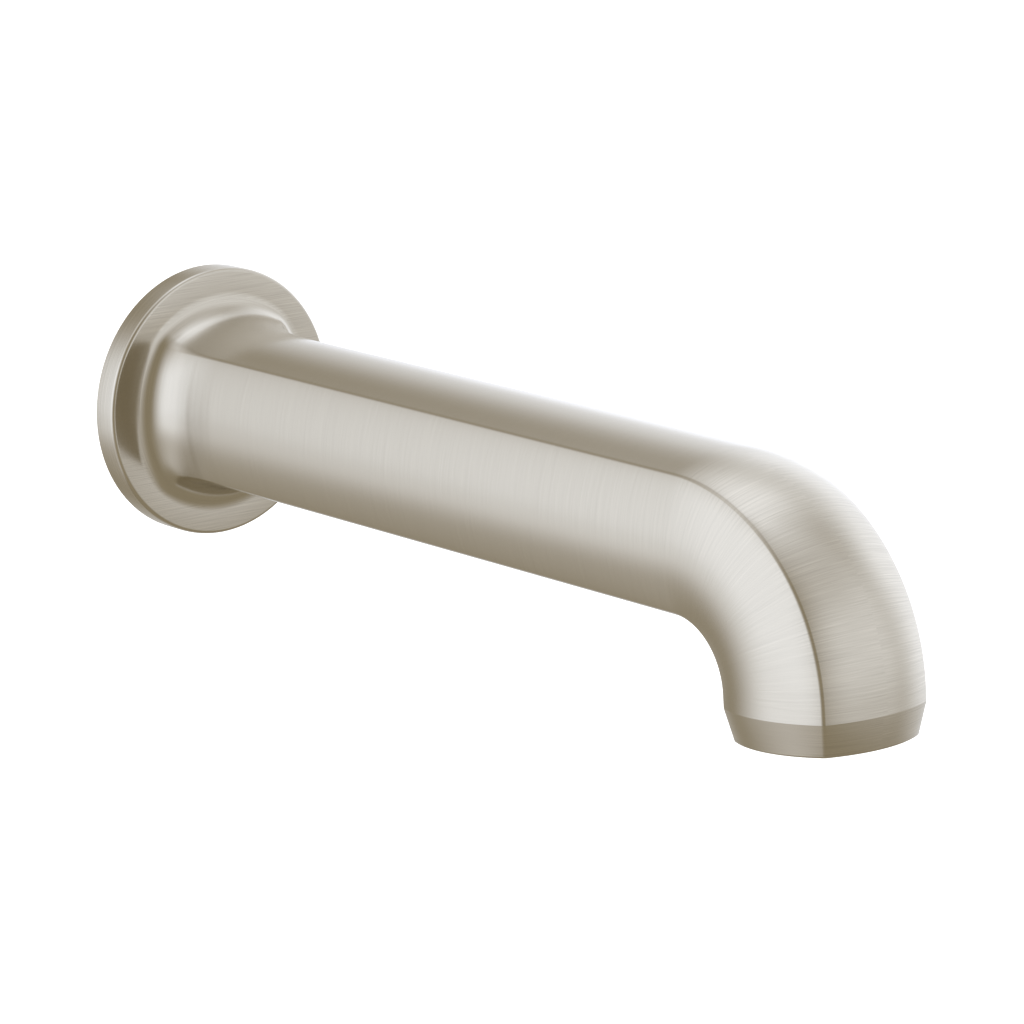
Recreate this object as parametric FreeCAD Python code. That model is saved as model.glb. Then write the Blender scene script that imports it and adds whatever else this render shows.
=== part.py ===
import FreeCAD, Part
import math
import os

# Wall mounted bath spout, in millimetres.
# The wall is the plane y = 0 and the spout points along -Y, with +Z up.
# The origin is the centre of the wall flange's back, on the centre line of the pipe in the wall.

Vec = FreeCAD.Vector

# ---- wall flange ----
FLANGE_R = 35.0
FLANGE_T = 7.3
FLANGE_RIM_R = 1.0
FLANGE_BACK_CHAMFER = 0.3
FLARE_LENGTH = 20.0
FLARE_GROWTH = 8.3
FLARE_EDGE_ANGLE = 4.0
FLARE_FULLNESS = 1.1
FLARE_SECTIONS = 14
FLARE_ROOM_SHARE = 0.9
FOOT_BULGE_SHARE = 0.27
FOOT_CREASE_R = 15.0

# ---- spout section: a square with rounded creases and bulging faces ----
HALF_WIDTH = 16.3
BULGE = 3.9
CREASE_R = 1.8
INNER_CREASE_SHARE = 0.4
SHELL_WALL = 2.0

# ---- spout path: straight out, round the bend, down to the tapered band at the outlet ----
STRAIGHT_LENGTH = 198.0
BEND_R = 33.5
BEND_ANGLE = 85.0
DROP_LENGTH = 3.2
BAND_LENGTH = 8.0
BAND_INSET = 1.55
BAND_CREASE_R = 2.4
BAND_EDGE_R = 0.5
MOUTH_DEPTH = 7.0

# ---- wall gasket, let into the flange's back ----
GASKET_IN_R = 25.0
GASKET_OUT_R = 31.5
GASKET_T = 2.0
GASKET_GAP = 0.1

# ---- brass adapter that screws onto the pipe; lengths are distances from the wall ----
PIPE_THREAD_R = 9.32
PIPE_THREAD_LENGTH = 13.0
HEX_OVER_BARREL = 1.2
HEX_LENGTH = 5.0
BARREL_R = 12.4
BARREL_END = 24.0
NOSE_R = 9.0
NOSE_END = 43.0
NOSE_WALL = 0.95
ADAPTER_CHAMFER = 0.6
SCREW_FLAT_START = 9.0
SCREW_FLAT_DEPTH = 1.4

# ---- pipe washer, at the bottom of the adapter's thread ----
PIPE_WASHER_T = 2.5
PIPE_WASHER_OVER_WATER = 0.4
PIPE_WASHER_GAP = 0.15
THREAD_RELIEF = 0.5

# ---- rubber rings on the adapter's nose ----
NOSE_RING_WIRE = 1.8
NOSE_RING_PITCH = 7.0
NOSE_RING_FROM_END = 7.0
RING_FIT_GAP = 0.05
RING_SIDE_GAP = 0.2

# ---- inlet socket, brazed into the back of the shell ----
SOCKET_START = 6.3
SOCKET_BLOCK_END = 27.0
SOCKET_NECK_WALL = 2.2
SOCKET_END_GAP = 1.0
SLIP_CLEARANCE = 0.06
BRAZE_GAP = 0.03

# ---- set screw, underneath, just in front of the wall ----
SCREW_R = 3.0
SCREW_SUNK = 1.15
SCREW_FROM_WALL = 16.0
SCREW_KEY_ACROSS_FLATS = 3.0
SCREW_KEY_DEPTH = 3.5
SCREW_CHAMFER = 0.6
SCREW_TIP_GAP = 0.05
SCREW_THREAD_GAP = 0.05
SCREW_SHELL_GAP = 0.35

# ---- bent waterway tube ----
TUBE_R = 7.9
TUBE_WALL = 1.0
TUBE_BEND_R = 26.0
TUBE_SEAT_DEPTH = 5.0

# ---- outlet insert, brazed into the mouth; heights are measured up from the band's lower edge ----
INSERT_RECESS = 1.6
INSERT_PLATE_T = 3.0
INSERT_THREAD_R = 12.0
INSERT_THREAD_LENGTH = 8.0
INSERT_CUP_WALL = 1.4
INSERT_ROOF_T = 1.0
INSERT_NECK_WALL = 1.7
INSERT_EDGE_CHAMFER = 0.4

# ---- flow straightener ----
RING_RECESS = 0.9
RING_THREAD_CLEARANCE = 0.06
RING_WALL = 1.4
RING_LIP = 1.8
RING_LIP_T = 1.6
KEY_SLOTS = 4
KEY_SLOT_WIDTH = 2.4
KEY_SLOT_DEPTH = 1.1
RING_CHAMFER = 0.3
INLET_WASHER_T = 1.2
INLET_WASHER_IN_R = 7.6
INLET_WASHER_GAP = 0.3
STACK_GAP = 0.05
STACK_RADIAL_GAP = 0.08
GRID_T = 2.2
GRID_RIM = 1.1
GRID_PITCH = 2.6
GRID_CELL_ACROSS_FLATS = 2.1
SCREEN_T = 0.25
SPACER_T = 0.5
SPACER_WALL = 1.0
DOME_RIM_T = 0.6
DOME_WALL = 0.5
DOME_R = 6.6
DOME_RISE = 2.2

OVERRUN = 1.0


# ---------------------------------------------------------------- sections
def bulged_section(half_width, bulge, crease_r, offset=0.0):
    """Closed outline about the origin in the XY plane: four bulging faces joined by crease arcs."""
    true_face_r = (half_width ** 2 + bulge ** 2) / (2.0 * bulge)
    centre_back = true_face_r - half_width - bulge
    face_r = true_face_r - offset
    small_r = max(crease_r - offset, INNER_CREASE_SHARE * crease_r)
    reach = face_r - small_r
    crease_at = (math.sqrt(2.0 * reach ** 2 - centre_back ** 2) - centre_back) / 2.0
    half_turn = math.atan2(crease_at, crease_at + centre_back)
    edges = []
    for quarter in range(4):
        face = [on_circle(-centre_back, 0.0, face_r, a) for a in (-half_turn, 0.0, half_turn)]
        turns = (half_turn, math.pi / 4.0, math.pi / 2.0 - half_turn)
        crease = [on_circle(crease_at, crease_at, small_r, a) for a in turns]
        for points in (face, crease):
            turned = [quarter_turned(p, quarter) for p in points]
            edges.append(Part.Arc(*turned).toShape())
    return Part.Wire(edges)


def on_circle(x, y, radius, angle):
    return Vec(x + radius * math.cos(angle), y + radius * math.sin(angle), 0)


def quarter_turned(point, quarters):
    for _ in range(quarters):
        point = Vec(-point.y, point.x, 0)
    return point


def tube_section(offset=0.0):
    return bulged_section(HALF_WIDTH, BULGE, CREASE_R, offset)


def mouth_section(offset=0.0):
    return bulged_section(HALF_WIDTH - BAND_INSET, BULGE, BAND_CREASE_R, offset)


def ring_outline(outer_r, inner_r):
    """Flat ring in the XY plane."""
    outer = Part.Wire(Part.makeCircle(outer_r))
    inner = Part.Wire(Part.makeCircle(inner_r))
    return Part.Face(outer).cut(Part.Face(inner)).Faces[0]


def hexagon(across_flats, x=0.0, y=0.0):
    radius = across_flats / math.sqrt(3.0)
    corners = [on_circle(x, y, radius, math.radians(60.0 * k)) for k in range(7)]
    return Part.Face(Part.makePolygon(corners))


# ---------------------------------------------------------------- places
def at_wall(shape, distance=0.0):
    """Turn a shape that was built up along +Z so that it runs out from the wall along -Y."""
    moved = shape.copy()
    moved.rotate(Vec(0, 0, 0), Vec(1, 0, 0), 90.0)
    moved.translate(Vec(0, -distance, 0))
    return moved


def outlet_centre():
    angle = math.radians(BEND_ANGLE)
    run = DROP_LENGTH + BAND_LENGTH
    y = -STRAIGHT_LENGTH - BEND_R * math.sin(angle) - run * math.cos(angle)
    z = -BEND_R * (1.0 - math.cos(angle)) - run * math.sin(angle)
    return Vec(0, y, z)


def at_outlet(shape):
    """Move a shape built upwards from the band's lower edge into its place at the outlet."""
    moved = shape.copy()
    moved.rotate(Vec(0, 0, 0), Vec(1, 0, 0), BEND_ANGLE - 90.0)
    moved.translate(outlet_centre())
    return moved


def swept(outline, from_wall, bend_r, straight_length, outlet_height):
    """Run an outline straight out from the wall, round a bend and down to a height over the outlet."""
    flat = Part.Face(outline) if outline.ShapeType == "Wire" else outline
    start = at_wall(flat, from_wall)
    straight = start.extrude(Vec(0, from_wall - straight_length, 0))
    corner = at_wall(flat, straight_length)
    bend = corner.revolve(Vec(0, -straight_length, -bend_r), Vec(1, 0, 0), BEND_ANGLE)
    spare = (BEND_R - bend_r) * math.tan(math.radians(BEND_ANGLE / 2.0))
    top = BAND_LENGTH + DROP_LENGTH + spare
    drop = flat.copy()
    drop.translate(Vec(0, 0, outlet_height))
    drop = at_outlet(drop.extrude(Vec(0, 0, top - outlet_height)))
    return straight.fuse([bend, drop]).removeSplitter()


# ---------------------------------------------------------------- round stock
def bar(radius, low, high):
    return Part.makeCylinder(radius, high - low, Vec(0, 0, low))


def sleeve(outer_r, inner_r, low, high):
    return bar(outer_r, low, high).cut(bar(inner_r, low - OVERRUN, high + OVERRUN))


def circles_at(shape, radius, height):
    """Round edges of one radius at one height, for a chamfer or a fillet."""
    found = []
    for edge in shape.Edges:
        curve = edge.Curve
        if isinstance(curve, Part.Circle) and abs(curve.Radius - radius) < 0.001:
            if abs(curve.Center.z - height) < 0.001 and abs(edge.BoundBox.ZLength) < 0.001:
                found.append(edge)
    return found


def edges_level_at(shape, height, within_r):
    """Edges that lie at one height, no further than a radius from the axis."""
    found = []
    for edge in shape.Edges:
        box = edge.BoundBox
        level = abs(box.ZMin - height) < 0.001 and abs(box.ZMax - height) < 0.001
        middle = edge.valueAt((edge.FirstParameter + edge.LastParameter) / 2.0)
        if level and math.hypot(middle.x, middle.y) < within_r:
            found.append(edge)
    return found


# ---------------------------------------------------------------- spout shell
def foot_r():
    """The flare ends in an almost round foot that keeps inside the flange's flat face."""
    room = FLARE_ROOM_SHARE * (FLANGE_R - FLANGE_RIM_R)
    return min(HALF_WIDTH + BULGE + FLARE_GROWTH, room)


def between(share, start, end):
    return start + share * (end - start)


def flare_section(share):
    """Section of the flare, from the square tube (share 0) to the round foot (share 1)."""
    tube_pull = (1.0 - share) ** 2
    middle_pull = 2.0 * FLARE_FULLNESS * share * (1.0 - share)
    face_pull = share ** 2
    pull = tube_pull + middle_pull + face_pull
    middle = FLARE_GROWTH * math.tan(math.radians(FLARE_EDGE_ANGLE))
    height = (tube_pull * FLARE_LENGTH + middle_pull * middle) / pull
    grown = face_pull / pull
    foot_bulge = FOOT_BULGE_SHARE * foot_r()
    half_width = between(grown, HALF_WIDTH, foot_r() - foot_bulge)
    bulge = between(grown, BULGE, foot_bulge)
    section = bulged_section(half_width, bulge, between(grown, CREASE_R, FOOT_CREASE_R))
    section.translate(Vec(0, 0, FLANGE_T + height))
    return section


def flange_and_root():
    """Wall flange with the start of the tube growing out of it through the flare, built up +Z."""
    disc = bar(FLANGE_R, 0, FLANGE_T)
    disc = disc.makeFillet(FLANGE_RIM_R, circles_at(disc, FLANGE_R, FLANGE_T))
    disc = disc.makeChamfer(FLANGE_BACK_CHAMFER, circles_at(disc, FLANGE_R, 0))
    sections = [flare_section(k / FLARE_SECTIONS) for k in range(FLARE_SECTIONS + 1)]
    flare = Part.makeLoft(sections, True, False)
    return disc.fuse(flare)


def outlet_band():
    """Tapered band at the outlet, with its lower edge softly rounded."""
    top = tube_section()
    top.translate(Vec(0, 0, BAND_LENGTH))
    band = Part.makeLoft([mouth_section(), top], True, True)
    return band.makeFillet(BAND_EDGE_R, edges_level_at(band, 0, 2.0 * HALF_WIDTH))


def spout_shell():
    outside = swept(tube_section(), 0.0, BEND_R, STRAIGHT_LENGTH, BAND_LENGTH)
    outside = outside.fuse([at_wall(flange_and_root()), at_outlet(outlet_band())])
    inside = swept(tube_section(SHELL_WALL), -OVERRUN, BEND_R, STRAIGHT_LENGTH, MOUTH_DEPTH)
    mouth = Part.Face(mouth_section(SHELL_WALL)).extrude(Vec(0, 0, MOUTH_DEPTH + 2.0 * OVERRUN))
    mouth.translate(Vec(0, 0, -OVERRUN))
    groove_depth = GASKET_T + GASKET_GAP
    groove = sleeve(GASKET_OUT_R + GASKET_GAP, GASKET_IN_R - GASKET_GAP, 0, groove_depth)
    screw_way = screw_bar(SCREW_R + SCREW_SHELL_GAP, 2.0 * HALF_WIDTH)
    return outside.cut([inside, at_outlet(mouth), at_wall(groove), screw_way])


def wall_gasket():
    return at_wall(sleeve(GASKET_OUT_R, GASKET_IN_R, 0, GASKET_T))


# ---------------------------------------------------------------- pipe adapter
def nose_ring_places():
    first = NOSE_END - NOSE_RING_FROM_END - NOSE_RING_PITCH
    return [first, first + NOSE_RING_PITCH]


def socket_bore_r():
    return NOSE_R + SLIP_CLEARANCE


def nose_ring_centre_r():
    return socket_bore_r() - RING_FIT_GAP - NOSE_RING_WIRE / 2.0


def nose_groove_r():
    return nose_ring_centre_r() - NOSE_RING_WIRE / 2.0 - RING_FIT_GAP


def water_r():
    """The water's way through the adapter leaves a wall under the ring grooves."""
    return nose_groove_r() - NOSE_WALL


def pipe_adapter():
    across_flats = 2.0 * (BARREL_R + HEX_OVER_BARREL / 2.0)
    hexed = hexagon(across_flats).extrude(Vec(0, 0, HEX_LENGTH))
    body = hexed.fuse([bar(BARREL_R, 0, BARREL_END), bar(NOSE_R, 0, NOSE_END)]).removeSplitter()
    body = body.makeChamfer(ADAPTER_CHAMFER, circles_at(body, BARREL_R, BARREL_END))
    body = body.makeChamfer(ADAPTER_CHAMFER, circles_at(body, NOSE_R, NOSE_END))
    relief_end = PIPE_THREAD_LENGTH + PIPE_WASHER_T + PIPE_WASHER_GAP
    cuts = [bar(PIPE_THREAD_R, -OVERRUN, PIPE_THREAD_LENGTH)]
    cuts.append(bar(PIPE_THREAD_R + THREAD_RELIEF, PIPE_THREAD_LENGTH, relief_end))
    cuts.append(bar(water_r(), relief_end, NOSE_END + OVERRUN))
    half_groove = NOSE_RING_WIRE / 2.0 + RING_SIDE_GAP
    for place in nose_ring_places():
        groove = sleeve(NOSE_R + OVERRUN, nose_groove_r(), place - half_groove, place + half_groove)
        cuts.append(groove)
    cuts.append(screw_flat())
    return at_wall(body.cut(cuts))


def screw_flat():
    """Block that mills the underside of the barrel flat; the flat is open towards the nose."""
    width = 2.0 * BARREL_R
    length = BARREL_END - SCREW_FLAT_START + OVERRUN
    top = -BARREL_R + SCREW_FLAT_DEPTH
    return Part.makeBox(width, width, length, Vec(-width / 2.0, top - width, SCREW_FLAT_START))


def pipe_washer():
    outer_r = PIPE_THREAD_R + THREAD_RELIEF - PIPE_WASHER_GAP
    low = PIPE_THREAD_LENGTH + PIPE_WASHER_GAP
    inner_r = water_r() + PIPE_WASHER_OVER_WATER
    return at_wall(sleeve(outer_r, inner_r, low, low + PIPE_WASHER_T))


def nose_ring(place):
    return at_wall(Part.makeTorus(nose_ring_centre_r(), NOSE_RING_WIRE / 2.0, Vec(0, 0, place)))


# ---------------------------------------------------------------- inlet socket
def socket_lengths():
    """Distances from the wall to the barrel bore's end, the nose bore's end, the tube and the end."""
    barrel = BARREL_END + SOCKET_END_GAP
    nose = NOSE_END + SOCKET_END_GAP
    tube = nose + SOCKET_END_GAP
    return barrel, nose, tube, tube + TUBE_SEAT_DEPTH


def inlet_socket():
    barrel, nose, tube, end = socket_lengths()
    outline = Part.Face(tube_section(SHELL_WALL + BRAZE_GAP))
    outline.translate(Vec(0, 0, SOCKET_START))
    block = outline.extrude(Vec(0, 0, SOCKET_BLOCK_END - SOCKET_START))
    neck = bar(socket_bore_r() + SOCKET_NECK_WALL, SOCKET_START, end)
    body = block.fuse(neck).removeSplitter()
    cuts = [bar(BARREL_R + SLIP_CLEARANCE, SOCKET_START - OVERRUN, barrel)]
    cuts.append(bar(socket_bore_r(), barrel, nose))
    cuts.append(bar(water_r(), nose, tube))
    cuts.append(bar(TUBE_R + BRAZE_GAP, tube, end + OVERRUN))
    body = at_wall(body.cut(cuts))
    return body.cut(screw_bar(SCREW_R + SCREW_THREAD_GAP, 2.0 * HALF_WIDTH))


# ---------------------------------------------------------------- set screw
def screw_top():
    return -BARREL_R + SCREW_FLAT_DEPTH - SCREW_TIP_GAP


def screw_length():
    """The screw ends a little way inside the shell's underside."""
    return screw_top() + HALF_WIDTH + BULGE - SCREW_SUNK


def screw_bar(radius, length):
    """Upright bar that hangs down from the set screw's tip."""
    return Part.makeCylinder(radius, length, Vec(0, -SCREW_FROM_WALL, screw_top()), Vec(0, 0, -1))


def set_screw():
    length = screw_length()
    body = bar(SCREW_R, 0, length)
    for height in (0, length):
        body = body.makeChamfer(SCREW_CHAMFER, circles_at(body, SCREW_R, height))
    key_depth = min(SCREW_KEY_DEPTH, length / 2.0)
    body = body.cut(hexagon(SCREW_KEY_ACROSS_FLATS).extrude(Vec(0, 0, key_depth)))
    body.translate(Vec(0, -SCREW_FROM_WALL, screw_top() - length))
    return body


# ---------------------------------------------------------------- waterway
def insert_heights():
    """Heights over the band's lower edge: plate, thread end, roof top and neck top."""
    thread_end = INSERT_RECESS + INSERT_THREAD_LENGTH
    roof = thread_end + INSERT_ROOF_T
    return INSERT_RECESS + INSERT_PLATE_T, thread_end, roof, roof + TUBE_SEAT_DEPTH


def waterway_tube():
    outline = ring_outline(TUBE_R, TUBE_R - TUBE_WALL)
    start = socket_lengths()[2] + BRAZE_GAP
    spare = (BEND_R - TUBE_BEND_R) * math.tan(math.radians(BEND_ANGLE / 2.0))
    low = insert_heights()[2] + BRAZE_GAP
    return swept(outline, start, TUBE_BEND_R, STRAIGHT_LENGTH + spare, low)


def outlet_insert():
    plate_top, thread_end, roof, neck_top = insert_heights()
    outline = Part.Face(mouth_section(SHELL_WALL + BRAZE_GAP))
    outline.translate(Vec(0, 0, INSERT_RECESS))
    plate = outline.extrude(Vec(0, 0, INSERT_PLATE_T))
    cup = bar(INSERT_THREAD_R + INSERT_CUP_WALL, INSERT_RECESS, roof)
    neck = bar(TUBE_R + INSERT_NECK_WALL, INSERT_RECESS, neck_top)
    body = plate.fuse([cup, neck]).removeSplitter()
    cuts = [bar(INSERT_THREAD_R, INSERT_RECESS - OVERRUN, thread_end)]
    cuts.append(bar(TUBE_R - TUBE_WALL, thread_end, roof))
    cuts.append(bar(TUBE_R + BRAZE_GAP, roof, neck_top + OVERRUN))
    body = body.cut(cuts)
    rim = circles_at(body, INSERT_THREAD_R, INSERT_RECESS)
    return at_outlet(body.makeChamfer(INSERT_EDGE_CHAMFER, rim))


# ---------------------------------------------------------------- flow straightener
def ring_bore_r():
    return INSERT_THREAD_R - RING_THREAD_CLEARANCE - RING_WALL


def stack_r():
    return ring_bore_r() - STACK_RADIAL_GAP


def stack():
    """Heights over the outlet of everything in the ring, from the grid up."""
    layers = [("honeycomb_grid", GRID_T), ("screen_lower", SCREEN_T), ("spacer_lower", SPACER_T)]
    layers += [("screen_middle", SCREEN_T), ("spacer_upper", SPACER_T), ("screen_upper", SCREEN_T)]
    layers += [("strainer_dome", DOME_RIM_T)]
    height = RING_RECESS + RING_LIP_T + STACK_GAP
    places = {}
    for name, thickness in layers:
        places[name] = (height, height + thickness)
        height += thickness + STACK_GAP
    return places


def ring_top():
    """The ring stops under the inlet washer, which the insert's roof holds down."""
    return insert_heights()[1] - INLET_WASHER_T - 2.0 * STACK_GAP


def straightener_ring():
    outer_r = INSERT_THREAD_R - RING_THREAD_CLEARANCE
    top = ring_top()
    body = sleeve(outer_r, ring_bore_r(), RING_RECESS, top)
    lip_top = RING_RECESS + RING_LIP_T
    body = body.fuse(sleeve(outer_r, ring_bore_r() - RING_LIP, RING_RECESS, lip_top)).removeSplitter()
    body = body.makeChamfer(RING_CHAMFER, circles_at(body, outer_r, RING_RECESS))
    body = body.makeChamfer(RING_CHAMFER, circles_at(body, outer_r, top))
    for k in range(KEY_SLOTS):
        reach = outer_r + OVERRUN
        slot = Part.makeBox(reach, KEY_SLOT_WIDTH, KEY_SLOT_DEPTH + OVERRUN)
        slot.translate(Vec(0, -KEY_SLOT_WIDTH / 2.0, RING_RECESS - OVERRUN))
        slot.rotate(Vec(0, 0, 0), Vec(0, 0, 1), 45.0 + 360.0 * k / KEY_SLOTS)
        body = body.cut(slot)
    return at_outlet(body)


def honeycomb_grid():
    low, high = stack()["honeycomb_grid"]
    disc = bar(stack_r(), low, high)
    reach = stack_r() - GRID_RIM - GRID_CELL_ACROSS_FLATS / math.sqrt(3.0)
    count = int(reach / GRID_PITCH) + 1
    cells = []
    for column in range(-2 * count, 2 * count + 1):
        for row in range(-2 * count, 2 * count + 1):
            x = GRID_PITCH * column * math.sqrt(3.0) / 2.0
            y = GRID_PITCH * (row + 0.5 * (column % 2))
            if math.hypot(x, y) <= reach:
                cell = hexagon(GRID_CELL_ACROSS_FLATS, x, y)
                cell.translate(Vec(0, 0, low - OVERRUN))
                cells.append(cell.extrude(Vec(0, 0, high - low + 2.0 * OVERRUN)))
    return at_outlet(disc.cut(cells))


def screen(name):
    low, high = stack()[name]
    return at_outlet(bar(stack_r(), low, high))


def spacer(name):
    low, high = stack()[name]
    return at_outlet(sleeve(stack_r(), stack_r() - SPACER_WALL, low, high))


def strainer_dome():
    low, high = stack()["strainer_dome"]
    sphere_r = (DOME_R ** 2 + DOME_RISE ** 2) / (2.0 * DOME_RISE)
    centre = Vec(0, 0, high + DOME_RISE - sphere_r)
    below = bar(2.0 * sphere_r, high - 3.0 * sphere_r, low)
    outside = Part.makeSphere(sphere_r, centre).cut(below)
    outside = outside.common(bar(stack_r(), low, high + DOME_RISE + OVERRUN))
    inside = Part.makeSphere(sphere_r - DOME_WALL, centre)
    rim = bar(stack_r(), low, high)
    crown = outside.common(bar(DOME_R, low, high + DOME_RISE + OVERRUN))
    return at_outlet(rim.fuse(crown).cut(inside).removeSplitter())


def inlet_washer():
    low = ring_top() + STACK_GAP
    outer_r = INSERT_THREAD_R - INLET_WASHER_GAP
    return at_outlet(sleeve(outer_r, INLET_WASHER_IN_R, low, low + INLET_WASHER_T))


# ---------------------------------------------------------------- every piece
def save(shape, name):
    os.makedirs("parts", exist_ok=True)
    shape.exportStep("parts/" + name + ".step")


def main():
    save(spout_shell(), "spout_shell")
    save(wall_gasket(), "wall_gasket")
    save(inlet_socket(), "inlet_socket")
    save(waterway_tube(), "waterway_tube")
    save(outlet_insert(), "outlet_insert")
    save(pipe_adapter(), "pipe_adapter")
    save(pipe_washer(), "pipe_washer")
    for name, place in zip(("nose_ring_rear", "nose_ring_front"), nose_ring_places()):
        save(nose_ring(place), name)
    save(set_screw(), "set_screw")
    save(straightener_ring(), "straightener_ring")
    save(inlet_washer(), "inlet_washer")
    save(strainer_dome(), "strainer_dome")
    for name in ("screen_upper", "screen_middle", "screen_lower"):
        save(screen(name), name)
    for name in ("spacer_upper", "spacer_lower"):
        save(spacer(name), name)
    save(honeycomb_grid(), "honeycomb_grid")


main()
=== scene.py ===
import math

import bmesh
import bpy
from mathutils import Matrix, Vector


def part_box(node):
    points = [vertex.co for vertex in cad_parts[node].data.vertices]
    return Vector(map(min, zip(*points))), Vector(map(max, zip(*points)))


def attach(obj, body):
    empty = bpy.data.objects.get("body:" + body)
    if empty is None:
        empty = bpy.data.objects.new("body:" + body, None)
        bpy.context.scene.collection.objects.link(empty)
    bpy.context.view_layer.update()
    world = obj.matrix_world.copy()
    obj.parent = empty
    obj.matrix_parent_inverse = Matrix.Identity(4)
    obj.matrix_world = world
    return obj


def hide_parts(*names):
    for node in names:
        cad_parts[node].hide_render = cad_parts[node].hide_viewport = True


bl_info = {
    "name": "Wall mounted bath spout",
    "version": (1, 0, 0),
    "blender": (4, 5, 0),
    "location": "3D View > Sidebar > Bath spout",
    "description": "Builds the finished look of a wall mounted bath spout around its packed frame",
    "category": "Add Mesh",
}

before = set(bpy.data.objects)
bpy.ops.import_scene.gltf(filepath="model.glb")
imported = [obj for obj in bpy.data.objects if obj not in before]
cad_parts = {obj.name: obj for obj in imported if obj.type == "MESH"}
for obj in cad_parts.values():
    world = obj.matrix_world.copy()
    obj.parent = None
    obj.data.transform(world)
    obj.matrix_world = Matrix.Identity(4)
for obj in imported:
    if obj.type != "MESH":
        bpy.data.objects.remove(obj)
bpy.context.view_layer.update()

MM = 0.001
FACE_STEPS = 24
CREASE_STEPS = 8
LOOP_STEPS = 4 * (FACE_STEPS + CREASE_STEPS)
GRAIN_RADIUS = 0.02
SHARP_TURN = math.radians(28.0)
TO_WALL = Matrix.Rotation(math.radians(90.0), 4, "X")
SQUARE = math.radians(90.0)
TURN = math.radians(360.0)
SCREW_PLACE = Matrix.Translation((0.0, -16.0 * MM, 0.0))
OUTLET_LEAN = Matrix.Rotation(math.radians(-5.0), 4, "X")
TO_OUTLET = Matrix.Translation((0.0, -232.3487 * MM, -41.7377 * MM)) @ OUTLET_LEAN


def wall_place(distance):
    return Matrix.Translation((0.0, -distance, 0.0)) @ TO_WALL


def outlet_place(height):
    return TO_OUTLET @ Matrix.Translation((0.0, 0.0, height))


# ------------------------------------------------------------------ sizes and colours
def length(name, description, millimetres):
    return bpy.props.FloatProperty(
        name=name, description=description, default=millimetres * MM,
        min=0.0, subtype="DISTANCE", unit="LENGTH", precision=5)


def colour(name, description, value):
    return bpy.props.FloatVectorProperty(
        name=name, description=description, default=value,
        size=3, min=0.0, max=1.0, subtype="COLOR")


class SpoutShellSizes(bpy.types.PropertyGroup):
    """Sizes of the one-piece shell: wall flange, tube, bend and outlet band."""
    flange_radius: length("Flange radius", "Radius of the round wall flange", 35.0)
    flange_thickness: length("Flange thickness", "How far the flange stands off the wall", 7.3)
    rim_radius: length("Rim radius", "Rounding of the flange's front edge", 1.0)
    back_chamfer: length("Back chamfer", "Chamfer on the flange's back edge", 0.3)
    flare_length: length("Flare length", "How far the flare runs out from the flange's face", 20.0)
    flare_growth: length("Flare growth", "How far the flare spreads over the flange's face", 8.3)
    flare_edge_angle: bpy.props.FloatProperty(
        name="Flare edge angle", description="Angle between the flare's rim and the flange's face",
        default=math.radians(4.0), min=0.0, max=SQUARE, subtype="ANGLE", unit="ROTATION")
    flare_fullness: bpy.props.FloatProperty(
        name="Flare fullness", description="How closely the flare hugs the corner",
        default=1.1, min=0.5, max=4.0, subtype="FACTOR")
    foot_bulge_share: bpy.props.FloatProperty(
        name="Foot bulge share", description="Bulge of the flare's round foot as a share of its radius",
        default=0.27, min=0.0, max=0.4, subtype="FACTOR")
    foot_crease_radius: length("Foot crease radius", "Rounding of the creases at the flare's foot", 15.0)
    half_width: length("Half width", "Half the square's width under the bulging faces", 16.3)
    bulge: length("Bulge", "How far the middle of a face stands out", 3.9)
    crease_radius: length("Crease radius", "Rounding of the four long creases", 1.8)
    wall: length("Wall", "Thickness of the shell", 2.0)
    straight: length("Straight length", "From the wall to the start of the bend", 198.0)
    bend_radius: length("Bend radius", "Radius of the bend on the tube's middle line", 33.5)
    bend_angle: bpy.props.FloatProperty(
        name="Bend angle", description="How far the tube turns down",
        default=math.radians(85.0), min=0.0, max=TURN, subtype="ANGLE", unit="ROTATION")
    drop: length("Drop", "Straight run between the bend and the band", 3.2)
    band: length("Band length", "Length of the tapered band at the outlet", 8.0)
    band_inset: length("Band inset", "How far the band narrows on each side", 1.55)
    band_crease_radius: length("Band crease radius", "Rounding of the band's corners", 2.4)
    band_edge: length("Band edge", "Rounding of the band's lower edge", 0.5)
    mouth_depth: length("Mouth depth", "Depth of the narrower mouth inside the band", 7.0)
    groove_in: length("Groove inner radius", "Inner radius of the gasket's groove", 24.9)
    groove_out: length("Groove outer radius", "Outer radius of the gasket's groove", 31.6)
    groove_depth: length("Groove depth", "Depth of the gasket's groove", 2.1)
    screw_hole: length("Screw hole radius", "Radius of the set screw's way through the shell", 3.35)
    screw_from_wall: length("Screw from wall", "Distance from the wall to the set screw", 16.0)


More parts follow.
